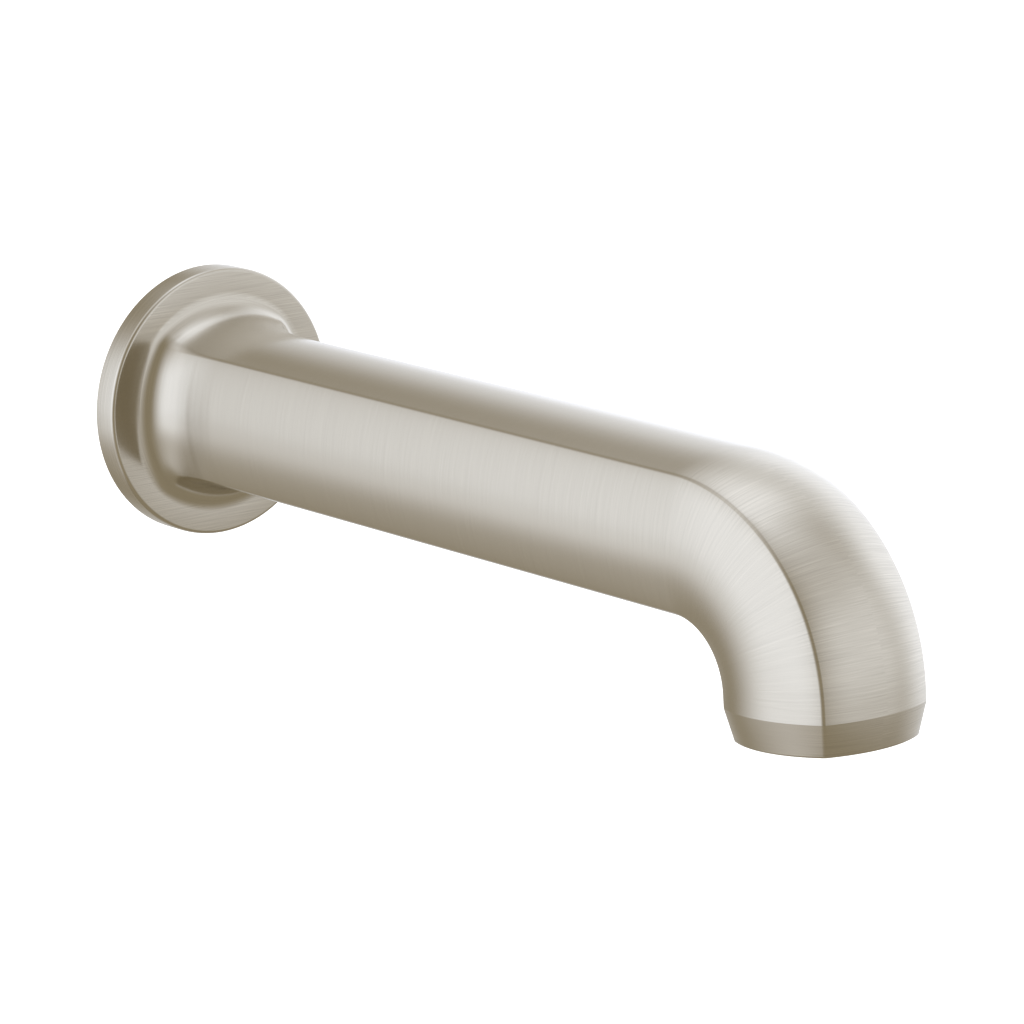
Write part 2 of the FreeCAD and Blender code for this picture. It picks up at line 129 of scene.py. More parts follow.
class FittingSizes(bpy.types.PropertyGroup):
    """Sizes of the fittings; distances run from the wall, heights up from the outlet."""
    gasket_in: length("Gasket inner radius", "Inner radius of the foam gasket", 25.0)
    gasket_out: length("Gasket outer radius", "Outer radius of the foam gasket", 31.5)
    gasket_thickness: length("Gasket thickness", "Thickness of the foam gasket", 2.0)
    pipe_thread: length("Pipe thread radius", "Crest radius of the adapter's pipe thread", 9.32)
    pipe_thread_end: length("Pipe thread end", "Distance from the wall to the thread's end", 13.0)
    relief_end: length("Relief end", "Distance from the wall to the washer's seat", 15.65)
    water: length("Waterway radius", "Radius of the water's way through the adapter", 6.21)
    nose: length("Nose radius", "Radius of the adapter's grooved nose", 9.0)
    nose_end: length("Nose end", "Distance from the wall to the nose's end", 43.0)
    barrel: length("Barrel radius", "Radius of the adapter's barrel", 12.4)
    barrel_end: length("Barrel end", "Distance from the wall to the barrel's end", 24.0)
    flat_start: length("Flat start", "Distance from the wall to the milled flat", 9.0)
    flat_depth: length("Flat depth", "How deep the flat is milled", 1.4)
    hex_length: length("Hexagon length", "Length of the adapter's hexagon", 5.0)
    hex_flats: length("Hexagon across flats", "Width of the adapter's hexagon", 26.0)
    ring_rear: length("Rear ring", "Distance from the wall to the rear rubber ring", 29.0)
    ring_front: length("Front ring", "Distance from the wall to the front rubber ring", 36.0)
    half_groove: length("Half groove", "Half the width of a ring groove", 1.1)
    groove_floor: length("Groove floor radius", "Radius of a ring groove's floor", 7.16)
    chamfer: length("Adapter chamfer", "Chamfers on the adapter", 0.6)
    screw: length("Screw radius", "Radius of the set screw", 3.0)
    screw_chamfer: length("Screw chamfer", "Chamfers at the set screw's ends", 0.6)
    screw_key: length("Screw key", "Width of the set screw's hexagon socket", 3.0)
    screw_key_depth: length("Screw key depth", "Depth of the hexagon socket", 3.5)
    insert_recess: length("Insert recess", "Height of the insert's lower face", 1.6)
    insert_plate: length("Insert plate", "Thickness of the insert's plate", 3.0)
    insert_thread: length("Insert thread radius", "Crest radius of the insert's thread", 12.0)
    insert_thread_end: length("Insert thread end", "Height of the insert's roof", 9.6)
    insert_roof: length("Insert roof", "Thickness of the insert's roof", 1.0)
    insert_chamfer: length("Insert chamfer", "Chamfer at the mouth of the thread", 0.4)
    cup: length("Cup radius", "Outer radius of the insert's cup", 13.4)
    neck: length("Neck radius", "Outer radius of the insert's neck", 9.6)
    neck_top: length("Neck top", "Height of the neck's end", 15.6)
    tube: length("Water tube radius", "Outer radius of the copper tube", 7.9)
    tube_in: length("Water tube bore", "Inner radius of the copper tube", 6.9)
    ring: length("Ring radius", "Crest radius of the straightener ring's thread", 11.94)
    ring_low: length("Ring height", "Height of the ring's lower face", 0.9)
    ring_top: length("Ring top", "Height of the ring's upper end", 8.3)
    ring_bore: length("Ring bore", "Inner radius of the ring", 10.54)
    ring_lip: length("Ring lip", "Inner radius of the ring's lip", 8.74)
    ring_lip_thick: length("Ring lip thickness", "Thickness of the ring's lip", 1.6)
    ring_chamfer: length("Ring chamfer", "Chamfers on the ring", 0.3)
    slot_depth: length("Key slot depth", "Depth of the ring's key slots", 1.1)
    stack: length("Stack radius", "Radius of the pieces inside the ring", 10.46)
    grid_low: length("Grid height", "Height of the honeycomb's lower face", 2.55)
    grid_thick: length("Grid thickness", "Thickness of the honeycomb", 2.2)
    grid_rim: length("Grid rim", "Solid rim round the honeycomb", 1.1)
    grid_cell: length("Grid cell", "Width of a honeycomb cell", 2.1)
    grid_pitch: length("Grid pitch", "Distance between honeycomb cells", 2.6)
    screen_lower: length("Lower screen", "Height of the lower screen's middle", 4.925)
    screen_middle: length("Middle screen", "Height of the middle screen's middle", 5.775)
    screen_upper: length("Upper screen", "Height of the upper screen's middle", 6.625)
    wire: length("Screen wire radius", "Radius of the screens' wire", 0.06)
    wire_pitch: length("Screen wire pitch", "Distance between the screens' wires", 0.8)


class SpoutColours(bpy.types.PropertyGroup):
    """Colours of the finishes."""
    nickel: colour("Nickel", "Brushed nickel plating", (0.640, 0.605, 0.535))
    brass: colour("Brass", "Machined brass", (0.720, 0.520, 0.230))
    copper: colour("Copper", "Drawn copper tube", (0.720, 0.340, 0.200))
    rubber: colour("Rubber", "Black sealing rubber", (0.018, 0.018, 0.019))
    foam: colour("Foam", "Closed cell gasket foam", (0.045, 0.045, 0.048))
    steel: colour("Steel", "Stainless steel", (0.480, 0.480, 0.480))
    plastic: colour("Plastic", "Moulded acetal", (0.620, 0.620, 0.590))


# ------------------------------------------------------------------ mesh helpers
INNER_CREASE_SHARE = 0.4
MERGE = 1e-7        # points this close are one point
NEAR = 2e-6         # points this close to a plane or a radius count as on it
ENLARGED = 1024.0   # loops are bridged at this scale, as small ones would twist
HAIR = 0.0005       # and this far apart, in the enlarged space, where they share a plane


def new_object(name, bm, material):
    """Turn a finished bmesh into an object at the origin, with hard edges marked by their angle."""
    for face in bm.faces:
        face.smooth = True
    for edge in bm.edges:
        if edge.is_manifold and edge.calc_face_angle(0.0) > SHARP_TURN:
            edge.smooth = False
    mesh = bpy.data.meshes.new(name)
    bm.to_mesh(mesh)
    bm.free()
    mesh.materials.append(material)
    piece = bpy.data.objects.new(name, mesh)
    bpy.context.scene.collection.objects.link(piece)
    return piece


def add_piece(name, bm, material, body, node):
    """Make a piece that rides on a body, has a material slot and stands for a CAD node."""
    piece = new_object(name, bm, material)
    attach(piece, body)
    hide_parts(node)


def skin(bm, loops, closed):
    """Bridge each loop of edges to the next, and the last to the first where the skin is closed."""
    pairs = list(zip(loops, loops[1:]))
    if closed:
        pairs.append((loops[-1], loops[0]))
    verts = bm.verts[:]
    bmesh.ops.transform(bm, matrix=Matrix.Scale(ENLARGED, 4), verts=verts)
    for one, other in pairs:
        part_planes(one, other)
        bmesh.ops.bridge_loops(bm, edges=list(one) + list(other))
    bmesh.ops.recalc_face_normals(bm, faces=bm.faces[:])
    bmesh.ops.transform(bm, matrix=Matrix.Scale(1.0 / ENLARGED, 4), verts=verts)


def part_planes(one, other):
    """Move the second loop a hair out of the first one's plane, so that the two bridge without a twist."""
    corners = [vert.co for edge in one for vert in edge.verts]
    middle = sum(corners, Vector()) / len(corners)
    verts = {vert for edge in other for vert in edge.verts}
    apart = sum((vert.co for vert in verts), Vector()) / len(verts) - middle
    if apart.length < HAIR:
        normal = (corners[0] - middle).cross(corners[1] - middle).normalized()
        for vert in verts:
            vert.co += HAIR * normal


def round_loop(bm, radius, matrix, steps=LOOP_STEPS):
    made = bmesh.ops.create_circle(bm, cap_ends=False, radius=radius, segments=steps, matrix=matrix)
    return {edge for vert in made["verts"] for edge in vert.link_edges}


def wall_circle(bm, radius, distance):
    return round_loop(bm, radius, wall_place(distance))


def outlet_circle(bm, radius, height):
    return round_loop(bm, radius, outlet_place(height))


def only_verts(parts):
    return [part for part in parts if isinstance(part, bmesh.types.BMVert)]


def open_edges(bm):
    return [edge for edge in bm.edges if len(edge.link_faces) == 1]


def face_circle(half_width, bulge):
    """Radius of the arc that a bulging face follows, and how far its centre lies behind the middle."""
    radius = (half_width ** 2 + bulge ** 2) / (2.0 * bulge)
    return radius, radius - half_width - bulge


def section_loop(bm, half_width, bulge, crease_radius, grown, matrix):
    """Square outline with bulging faces and rounded creases, grown outwards or shrunk, then placed."""
    true_radius, centre_back = face_circle(half_width, bulge)
    face_radius = true_radius + grown
    small_radius = max(crease_radius + grown, INNER_CREASE_SHARE * crease_radius)
    reach = face_radius - small_radius
    crease_at = (math.sqrt(2.0 * reach ** 2 - centre_back ** 2) - centre_back) / 2.0
    half_turn = math.atan2(crease_at, crease_at + centre_back)
    x = face_radius * math.cos(half_turn) - centre_back
    loop = bmesh.new()
    last = [loop.verts.new((x, -face_radius * math.sin(half_turn), 0.0))]
    arcs = ((Vector((-centre_back, 0.0, 0.0)), 2.0 * half_turn, FACE_STEPS),
            (Vector((crease_at, crease_at, 0.0)), SQUARE - 2.0 * half_turn, CREASE_STEPS))
    for centre, angle, steps in arcs:
        spun = bmesh.ops.spin(loop, geom=last, cent=centre, axis=(0, 0, 1), angle=angle, steps=steps)
        last = only_verts(spun["geom_last"])
    quarter = loop.verts[:] + loop.edges[:]
    bmesh.ops.spin(loop, geom=quarter, cent=(0, 0, 0), axis=(0, 0, 1), angle=3.0 * SQUARE,
                   steps=3, use_duplicate=True)
    bmesh.ops.remove_doubles(loop, verts=loop.verts[:], dist=MERGE)
    bmesh.ops.transform(loop, matrix=matrix, verts=loop.verts[:])
    return brought_in(bm, loop)


def brought_in(bm, part):
    """Move a small bmesh into the piece's own and give back its edges."""
    known = set(bm.verts)
    mesh = bpy.data.meshes.new("part")
    part.to_mesh(mesh)
    part.free()
    bm.from_mesh(mesh)
    bpy.data.meshes.remove(mesh)
    return {edge for vert in bm.verts if vert not in known for edge in vert.link_edges}


def joined_to(vert):
    """Every vertex that edges join to this one."""
    found = {vert}
    waiting = [vert]
    while waiting:
        for edge in waiting.pop().link_edges:
            other = edge.verts[0] if edge.verts[1] in found else edge.verts[1]
            if other not in found:
                found.add(other)
                waiting.append(other)
    return found


# ------------------------------------------------------------------ the spout's path
FLAT_FACE = 0.98
FLAT_REACH = 1.2


def path_matrix(sizes, distance):
    """Place on the spout's middle line: the section lies in the XY plane and Z points backwards."""
    past = distance - sizes.straight
    if past <= 0.0:
        return wall_place(distance)
    turned = min(past / sizes.bend_radius, sizes.bend_angle)
    run = max(past - sizes.bend_radius * sizes.bend_angle, 0.0)
    pivot = Vector((0.0, -sizes.straight, -sizes.bend_radius))
    about = Matrix.Translation(pivot) @ Matrix.Rotation(turned, 4, "X") @ Matrix.Translation(-pivot)
    return about @ wall_place(sizes.straight + run)


def path_length(sizes):
    return sizes.straight + sizes.bend_radius * sizes.bend_angle + sizes.drop + sizes.band


def unrolled(sizes, point):
    """Across, up and along coordinates of a point as if the spout were straight."""
    if point.y > -sizes.straight:
        return point.x, point.z, -point.y
    out = -sizes.straight - point.y
    down = point.z + sizes.bend_radius
    angle = math.atan2(out, down)
    if angle <= sizes.bend_angle:
        return point.x, math.hypot(out, down) - sizes.bend_radius, sizes.straight + sizes.bend_radius * angle
    sine, cosine = math.sin(sizes.bend_angle), math.cos(sizes.bend_angle)
    up = out * sine + down * cosine - sizes.bend_radius
    along = out * cosine - down * sine
    return point.x, up, sizes.straight + sizes.bend_radius * sizes.bend_angle + along


def lay_grain(sizes, bm):
    """Lay the grain's UV map: U runs with the grain, round the tube, and V runs along the path."""
    layer = bm.loops.layers.uv.new("grain")
    flange_end = -FLAT_REACH * sizes.flange_thickness
    for face in bm.faces:
        if abs(face.normal.y) > FLAT_FACE and face.calc_center_median().y > flange_end:
            for loop in face.loops:
                loop[layer].uv = (loop.vert.co.x, loop.vert.co.z)
            continue
        corners = []
        for loop in face.loops:
            across, up, along = unrolled(sizes, loop.vert.co)
            spread = flare_growth(sizes, along - sizes.flange_thickness)
            corners.append((loop, math.atan2(across, -up), along - spread))
        widest = max(angle for _, angle, _ in corners)
        for loop, angle, along in corners:
            if widest - angle > math.pi:
                angle += TURN
            loop[layer].uv = (angle * GRAIN_RADIUS, along)


# ------------------------------------------------------------------ node helpers
FINE_BUMP = 0.03 * MM
CELL_BUMP = 0.2 * MM


class Nodes:
    """A node tree, with a short way to add and join nodes."""

    def __init__(self, tree):
        self.tree = tree

    def add(self, kind, *values, **settings):
        """Add a node, set it up and join or set its first sockets; None leaves a socket as it is."""
        node = self.tree.nodes.new(kind)
        for key, value in settings.items():
            setattr(node, key, value)
        for socket, value in zip(node.inputs, values):
            self.feed(socket, value)
        return node

    def feed(self, socket, value):
        if hasattr(value, "is_output"):
            self.tree.links.new(value, socket)
        elif value is not None:
            socket.default_value = value

    def math(self, operation, *values):
        return self.add("ShaderNodeMath", *values, operation=operation).outputs[0]

    def weigh(self, one, one_share, other, other_share):
        """Sum of two values, each times its share."""
        return self.math("ADD", self.math("MULTIPLY", one, one_share),
                         self.math("MULTIPLY", other, other_share))

    def spread(self, value, low, high, to_low, to_high, **settings):
        return self.add("ShaderNodeMapRange", value, low, high, to_low, to_high, **settings).outputs[0]

    def here(self, kind="Object"):
        return self.add("ShaderNodeTexCoord").outputs[kind]

    def parts(self, vector):
        return self.add("ShaderNodeSeparateXYZ", vector).outputs

    def mapped(self, source, scale, location=(0, 0, 0)):
        node = self.add("ShaderNodeMapping", source)
        self.feed(node.inputs["Scale"], scale)
        self.feed(node.inputs["Location"], location)
        return node.outputs[0]

    def noise(self, source, scale, detail, location=(0, 0, 0)):
        """Noise with its own scale along each axis; one number stands for all three."""
        if isinstance(scale, float):
            scale = (scale, scale, scale)
        node = self.add("ShaderNodeTexNoise", self.mapped(source, scale, location))
        self.feed(node.inputs["Scale"], 1.0)
        self.feed(node.inputs["Detail"], detail)
        self.feed(node.inputs["Roughness"], 0.6)
        return node.outputs["Fac"]

    def mix(self, factor, one, other, blend="MIX"):
        node = self.add("ShaderNodeMix", factor, data_type="RGBA", blend_type=blend)
        self.feed(node.inputs[6], one)
        self.feed(node.inputs[7], other)
        return node.outputs[2]


class Material(Nodes):
    """A material's node tree, with its shader."""

    def __init__(self, name):
        self.material = bpy.data.materials.new(name)
        self.material.use_nodes = True
        super().__init__(self.material.node_tree)
        self.shader = self.tree.nodes["Principled BSDF"]

    def shade(self, **values):
        """Set or join the shader's own sockets."""
        for name, value in values.items():
            self.feed(self.shader.inputs[name.replace("_", " ")], value)

    def tint(self, value, low, high, one, other, most=1.0):
        """Colour the surface from one colour to the other as a value goes from low to high."""
        self.shade(Base_Color=self.mix(self.spread(value, low, high, 0.0, most), one, other))

    def gloss(self, value, low, high, at_low, at_high):
        self.shade(Roughness=self.spread(value, low, high, at_low, at_high))

    def bump(self, height, strength, distance=FINE_BUMP):
        node = self.add("ShaderNodeBump")
        for name, value in (("Strength", strength), ("Distance", distance), ("Height", height)):
            self.feed(node.inputs[name], value)
        self.shade(Normal=node.outputs[0])


def opaque(base, share=1.0):
    """A colour with its alpha, made brighter or darker by a share or by a share for each channel."""
    shares = share if isinstance(share, tuple) else (share,) * 3
    return tuple(min(1.0, channel * part) for channel, part in zip(base, shares)) + (1.0,)


def shades(base, amount):
    """A darker and a lighter shade of a colour."""
    return opaque(base, 1.0 - amount), opaque(base, 1.0 + amount)


# Where the nickel's scratches deepen: the bend's front, narrower than the sides, and the flange.
FRONT_HALF_WIDTH = (16.0 * MM, 18.0 * MM)
FRONT_FROM_WALL = (-215.0 * MM, -195.0 * MM)
FLANGE_FROM_WALL = (-11.0 * MM, -7.4 * MM)
FRONT_DEPTH, TUBE_DEPTH, FLANGE_DEPTH = 1.3, 0.8, 2.6


def brushed_nickel(base):
    """Nickel plate over brushed brass: long fine scratches that run with the grain, deeper on the flange."""
    nodes = Material("brushed nickel")
    grain = nodes.add("ShaderNodeUVMap", uv_map="grain").outputs[0]
    fine = nodes.noise(grain, (70.0, 9000.0, 1.0), 2.0)
    long = nodes.noise(grain, (35.0, 4200.0, 1.0), 2.0, location=(3.0, 7.0, 0.0))
    broad = nodes.noise(grain, (16.0, 1800.0, 1.0), 2.0, location=(9.0, 1.0, 0.0))
    streaks = nodes.weigh(nodes.weigh(fine, 0.5, long, 0.35), 1.0, broad, 0.15)
    across, along, _ = nodes.parts(nodes.here())
    front = nodes.math("MULTIPLY", nodes.spread(nodes.math("ABSOLUTE", across), *FRONT_HALF_WIDTH, 1.0, 0.0),
                       nodes.spread(along, *FRONT_FROM_WALL, FRONT_DEPTH, 0.0))
    deep = nodes.math("ADD", nodes.spread(along, *FLANGE_FROM_WALL, TUBE_DEPTH, FLANGE_DEPTH), front)
    streaks = nodes.math("ADD", nodes.math("MULTIPLY", nodes.math("SUBTRACT", streaks, 0.5), deep), 0.5)
    nodes.tint(streaks, 0.2, 0.8, *shades(base, 0.10))
    nodes.gloss(streaks, 0.2, 0.8, 0.215, 0.165)
    nodes.bump(streaks, 0.07)
    tangent = nodes.add("ShaderNodeTangent", direction_type="UV_MAP", uv_map="grain")
    nodes.shade(Metallic=1.0, Anisotropic=0.3, Tangent=tangent.outputs[0])
    return nodes.material


def turned_metal(name, base, axis_place, roughness):
    """Metal turned on a lathe: fine tool marks round one axis over a faint cloud."""
    nodes = Material(name)
    here = nodes.here()
    centred = nodes.add("ShaderNodeMapping", here, axis_place.to_translation(), axis_place.to_euler(),
                        vector_type="TEXTURE")
    x, y, z = nodes.parts(centred.outputs[0])
    radius = nodes.math("SQRT", nodes.math("ADD", nodes.math("MULTIPLY", x, x), nodes.math("MULTIPLY", y, y)))
    spot = nodes.add("ShaderNodeCombineXYZ", radius, z).outputs[0]
    marks = nodes.noise(spot, (5200.0, 5200.0, 1.0), 2.0)
    worn = nodes.weigh(marks, 0.55, nodes.noise(here, 160.0, 4.0), 0.45)
    nodes.tint(worn, 0.3, 0.7, *shades(base, 0.16))
    nodes.gloss(worn, 0.3, 0.7, roughness + 0.08, roughness - 0.05)
    nodes.bump(marks, 0.12)
    nodes.shade(Metallic=1.0)
    return nodes.material


def drawn_copper(base):
    """Copper tube: long drawing lines and a light brown tarnish."""
    nodes = Material("drawn copper")
    here = nodes.here()
    lines = nodes.noise(here, (2400.0, 40.0, 2400.0), 2.0)
    tarnish = nodes.noise(here, 90.0, 5.0)
    bright = nodes.mix(nodes.spread(lines, 0.3, 0.7, 0.0, 1.0), *shades(base, 0.14))
    nodes.tint(tarnish, 0.5, 0.75, bright, opaque(base, (0.55, 0.5, 0.5)), most=0.6)
    nodes.gloss(tarnish, 0.3, 0.75, 0.22, 0.42)
    nodes.bump(lines, 0.1)
    nodes.shade(Metallic=1.0)
    return nodes.material


def moulded_rubber(base):
    """Moulded sealing rubber: almost black, with a faint bloom and a fine skin."""
    nodes = Material("moulded rubber")
    here = nodes.here()
    bloom = nodes.noise(here, 500.0, 4.0)
    nodes.tint(bloom, 0.4, 0.75, opaque(base), opaque(base, 2.2))
    nodes.gloss(bloom, 0.3, 0.7, 0.42, 0.6)
    nodes.bump(nodes.noise(here, 6000.0, 2.0), 0.15)
    return nodes.material


def closed_cell_foam(base):
    """Closed cell foam: small round cells under a matt skin."""
    nodes = Material("closed cell foam")
    here = nodes.here()
    cells = nodes.add("ShaderNodeTexVoronoi", nodes.mapped(here, (1500.0, 1500.0, 1500.0)))
    nodes.feed(cells.inputs["Scale"], 1.0)
    cloud = nodes.noise(here, 300.0, 3.0)
    tone = nodes.weigh(cells.outputs["Distance"], 0.6, cloud, 0.5)
    nodes.tint(tone, 0.2, 0.9, opaque(base), opaque(base, 2.4))
    nodes.gloss(cloud, 0.3, 0.7, 0.75, 0.9)
    nodes.bump(cells.outputs["Distance"], 0.5, CELL_BUMP)
    return nodes.material


def moulded_plastic(name, base):
    """Satin moulded acetal with faint flow clouds and a fine spark texture."""
    nodes = Material(name)
    here = nodes.here()
    spark = nodes.noise(here, 9000.0, 2.0)
    nodes.tint(nodes.noise(here, 220.0, 4.0), 0.3, 0.7, *shades(base, 0.05))
    nodes.gloss(spark, 0.3, 0.7, 0.34, 0.48)
    nodes.bump(spark, 0.12, 0.02 * MM)
    return nodes.material


# ------------------------------------------------------------------ operators: the shell
HOLE_MARGIN = 0.4 * MM   # between the screw hole's rim and the loops before and after it
HOLE_ROWS = 8
SUPPORT = 1.5 * MM       # between the bend's start and the loop that keeps the straight flat
STRAIGHT_STEPS = 16
BEND_STEPS = 48
FLARE_STEPS = 18
TAIL_ROWS = 3
FACE_SUPPORT = 0.4 * MM  # between the flare's foot and the loop that keeps the flange flat
HALVINGS = 30
RIM_SEGMENTS = 6
BAND_SEGMENTS = 4
HOLE_PARTING = 1.0 / 3.0  # of the wall: the outer skin lies below this height, the inner one above
HOLE_DEEPEST = 1.5        # walls: the inner skin lies below this height


class BATHSPOUT_OT_shell(bpy.types.Operator):
    """Build the shell: flange, flare, tube, bend, tapered band and the hollow inside"""
    bl_idname = "bathspout.shell"
    bl_label = "Build the shell"

    def execute(self, context):
        sizes = context.scene.bath_spout_shell
        bm = bmesh.new()
        loops = shell_back(sizes, bm) + shell_outside(sizes, bm) + shell_inside(sizes, bm)
        skin(bm, loops, closed=True)
        round_shell_edges(sizes, bm)
        drill_screw_hole(sizes, bm)
        bmesh.ops.recalc_face_normals(bm, faces=bm.faces[:])
        sharpen_band(sizes, bm)
        lay_grain(sizes, bm)
        nickel = brushed_nickel(context.scene.bath_spout_colours.nickel)
        add_piece("shell", bm, nickel, "spout", "spout_shell")
        return {"FINISHED"}


def shell_back(sizes, bm):
    """The flange's back with the gasket's groove, from the hollow outwards."""
    rings = ((sizes.groove_in, 0.0), (sizes.groove_in, sizes.groove_depth),
             (sizes.groove_out, sizes.groove_depth), (sizes.groove_out, 0.0), (sizes.flange_radius, 0.0))
    return [wall_circle(bm, radius, distance) for radius, distance in rings]


def tube_loop(sizes, bm, grown, distance):
    return section_loop(bm, sizes.half_width, sizes.bulge, sizes.crease_radius, grown,
                        path_matrix(sizes, distance))


def mouth_loop(sizes, bm, grown, distance):
    return section_loop(bm, sizes.half_width - sizes.band_inset, sizes.bulge, sizes.band_crease_radius,
                        grown, path_matrix(sizes, distance))


def flare_point(sizes, share):
    """Height over the flange's face and outward growth, from the tube (share 0) to the face (share 1)."""
    tube, face = (1.0 - share) ** 2, share ** 2
    middle = 2.0 * sizes.flare_fullness * share * (1.0 - share)
    pull = tube + middle + face
    lift = sizes.flare_growth * math.tan(sizes.flare_edge_angle)
    return (tube * sizes.flare_length + middle * lift) / pull, face * sizes.flare_growth / pull


def flare_share(sizes, height):
    """How far down the flare's profile a height over the flange's face lies."""
    low, high = 0.0, 1.0
    for _ in range(HALVINGS):
        share = (low + high) / 2.0
        if flare_point(sizes, share)[0] > height:
            low = share
        else:
            high = share
    return (low + high) / 2.0


def flare_growth(sizes, height):
    """Outward growth of the flare at a height over the flange's face."""
    if height >= sizes.flare_length:
        return 0.0
    return flare_point(sizes, flare_share(sizes, max(height, 0.0)))[1]


def flare_form(sizes, growth):
    """Half width, bulge and crease radius of the flare where its faces have grown so far."""
    share = growth / sizes.flare_growth
    foot = sizes.half_width + sizes.bulge + sizes.flare_growth
    foot_bulge = sizes.foot_bulge_share * foot
    ends = ((sizes.half_width, foot - foot_bulge), (sizes.bulge, foot_bulge),
            (sizes.crease_radius, sizes.foot_crease_radius))
    return [tube + share * (end - tube) for tube, end in ends]


def flare_loop(sizes, bm, growth, distance, grown=0.0):
    return section_loop(bm, *flare_form(sizes, growth), grown, path_matrix(sizes, distance))


def run_distances(sizes):
    """Distances along the path where the tube has a loop, from the screw hole to the band's top."""
    hole, reach = sizes.screw_from_wall, sizes.screw_hole + HOLE_MARGIN
    turn = sizes.bend_radius * sizes.bend_angle
    runs = ((hole + reach, HOLE_ROWS), (sizes.flange_thickness + sizes.flare_length, TAIL_ROWS),
            (sizes.straight - SUPPORT, STRAIGHT_STEPS), (sizes.straight, 1),
            (sizes.straight + turn, BEND_STEPS), (path_length(sizes) - sizes.band, 1))
    places = [hole - reach]
    for end, steps in runs:
        start = places[-1]
        places += [start + (end - start) * k / steps for k in range(1, steps + 1)]
    return places


def shell_outside(sizes, bm):
    """From the flange's face through the flare and round the bend to the band's lower edge."""
    face = sizes.flange_thickness
    loops = [wall_circle(bm, sizes.flange_radius, face),
             flare_loop(sizes, bm, sizes.flare_growth, face, FACE_SUPPORT)]
    distances = run_distances(sizes)
    last = flare_share(sizes, distances[0] - face)
    for k in range(FLARE_STEPS):
        height, grown = flare_point(sizes, 1.0 - (1.0 - last) * k / FLARE_STEPS)
        loops.append(flare_loop(sizes, bm, grown, face + height))
    loops += [flare_loop(sizes, bm, flare_growth(sizes, place - face), place) for place in distances]
    loops.append(mouth_loop(sizes, bm, 0.0, path_length(sizes)))
    return loops


def shell_inside(sizes, bm):
    """From the mouth back through the hollow to the flange's back."""
    end = path_length(sizes)
    shelf = end - sizes.mouth_depth
    loops = [mouth_loop(sizes, bm, -sizes.wall, distance) for distance in (end, shelf)]
    for distance in [shelf] + run_distances(sizes)[-2::-1] + [0.0]:
        loops.append(tube_loop(sizes, bm, -sizes.wall, distance))
    return loops


def soften(bm, edges, offset, segments):
    bmesh.ops.bevel(bm, geom=edges, offset=offset, offset_type="OFFSET", segments=segments,
                    profile=0.5, affect="EDGES", material=-1, clamp_overlap=True)


def round_shell_edges(sizes, bm):
    """Round the flange's front edge and the band's lower edge, and chamfer the flange's back edge."""
    for distance, offset, segments in ((sizes.flange_thickness, sizes.rim_radius, RIM_SEGMENTS),
                                       (0.0, sizes.back_chamfer, 1)):
        soften(bm, [edge for edge in bm.edges
                    if all(abs(math.hypot(vert.co.x, vert.co.z) - sizes.flange_radius) < NEAR
                           and abs(vert.co.y + distance) < NEAR for vert in edge.verts)], offset, segments)
    end = path_length(sizes)
    halfway_up = end - (sizes.band + sizes.mouth_depth) / 2.0

    def heights(verts):
        return [unrolled(sizes, vert.co)[2] for vert in verts]
    lowest = [edge for edge in bm.edges if min(heights(edge.verts)) > end - NEAR]
    soften(bm, [edge for edge in lowest
                if min(min(heights(face.verts)) for face in edge.link_faces) < halfway_up],
           sizes.band_edge, BAND_SEGMENTS)


def sharpen_band(sizes, bm):
    """Keep a crisp line round the tube where the tapered band starts."""
    start = path_length(sizes) - sizes.band
    for edge in bm.edges:
        if all(abs(unrolled(sizes, vert.co)[2] - start) < NEAR for vert in edge.verts):
            edge.smooth = False


def drill_screw_hole(sizes, bm):
    """Open the set screw's way through the underside, outside and inside, and join the two rims."""
    rims = []
    reach = sizes.screw_hole + HOLE_MARGIN
    outer = -(sizes.half_width + sizes.bulge)
    parting = outer + HOLE_PARTING * sizes.wall
    for grown, lowest, highest in ((0.0, -sizes.flange_radius, parting),
                                   (-sizes.wall, parting, outer + HOLE_DEEPEST * sizes.wall)):
        patch = []
        for face in bm.faces:
            middle = face.calc_center_median()
            near = abs(middle.x) < reach and abs(middle.y + sizes.screw_from_wall) < reach
            if near and lowest < middle.z < highest:
                patch.append(face)
        inside = set(patch)
        border = {edge for face in patch for edge in face.edges
                  if len([f for f in edge.link_faces if f in inside]) == 1}
        bmesh.ops.delete(bm, geom=patch, context="FACES")
        border = [edge for edge in border if edge.is_valid]
        matrix = Matrix.Translation((0.0, -sizes.screw_from_wall, 0.0))
        rim = round_loop(bm, sizes.screw_hole, matrix, steps=len(border))
        for vert in {vert for edge in rim for vert in edge.verts}:
            spread = 0.0 if grown else flare_growth(sizes, -vert.co.y - sizes.flange_thickness)
            radius, centre_back = face_circle(*flare_form(sizes, spread)[:2])
            vert.co.z = centre_back - math.sqrt((radius + grown) ** 2 - vert.co.x ** 2)
        rims += [rim, border]
    skin(bm, [rims[1], rims[0], rims[2], rims[3]], closed=False)


# ------------------------------------------------------------------ operators: the inner pieces
GASKET_EDGE = 0.15 * MM
EDGE = 0.2 * MM
BRAZE_GAP = 0.03 * MM
THREAD_STEPS = 48
THREAD_FLANK = 0.42
THREAD_CREST = 0.16
THREAD_LEAD = 0.6 * MM
PIPE_PITCH = 1.814 * MM
PIPE_THREAD_DEEP = 0.5 * MM
SCREW_PITCH = 1.0 * MM
SCREW_THREAD_DEEP = 0.45 * MM
OUTLET_PITCH = 1.0 * MM
INSERT_THREAD_DEEP = 0.5 * MM
RING_THREAD_DEEP = 0.45 * MM
KEY_SLOTS = 4
SLOT_STEPS = 4
SLOT_MARGIN = 0.1
WIRE_SIDES = 6
WIRE_LIFT = 1.05
SCREW_END = 0.8
SCREW_CUP = 0.45
SCREW_CUP_FLOOR = 0.1
KEY_MOUTH = 1.12
KEY_POINT = 0.2
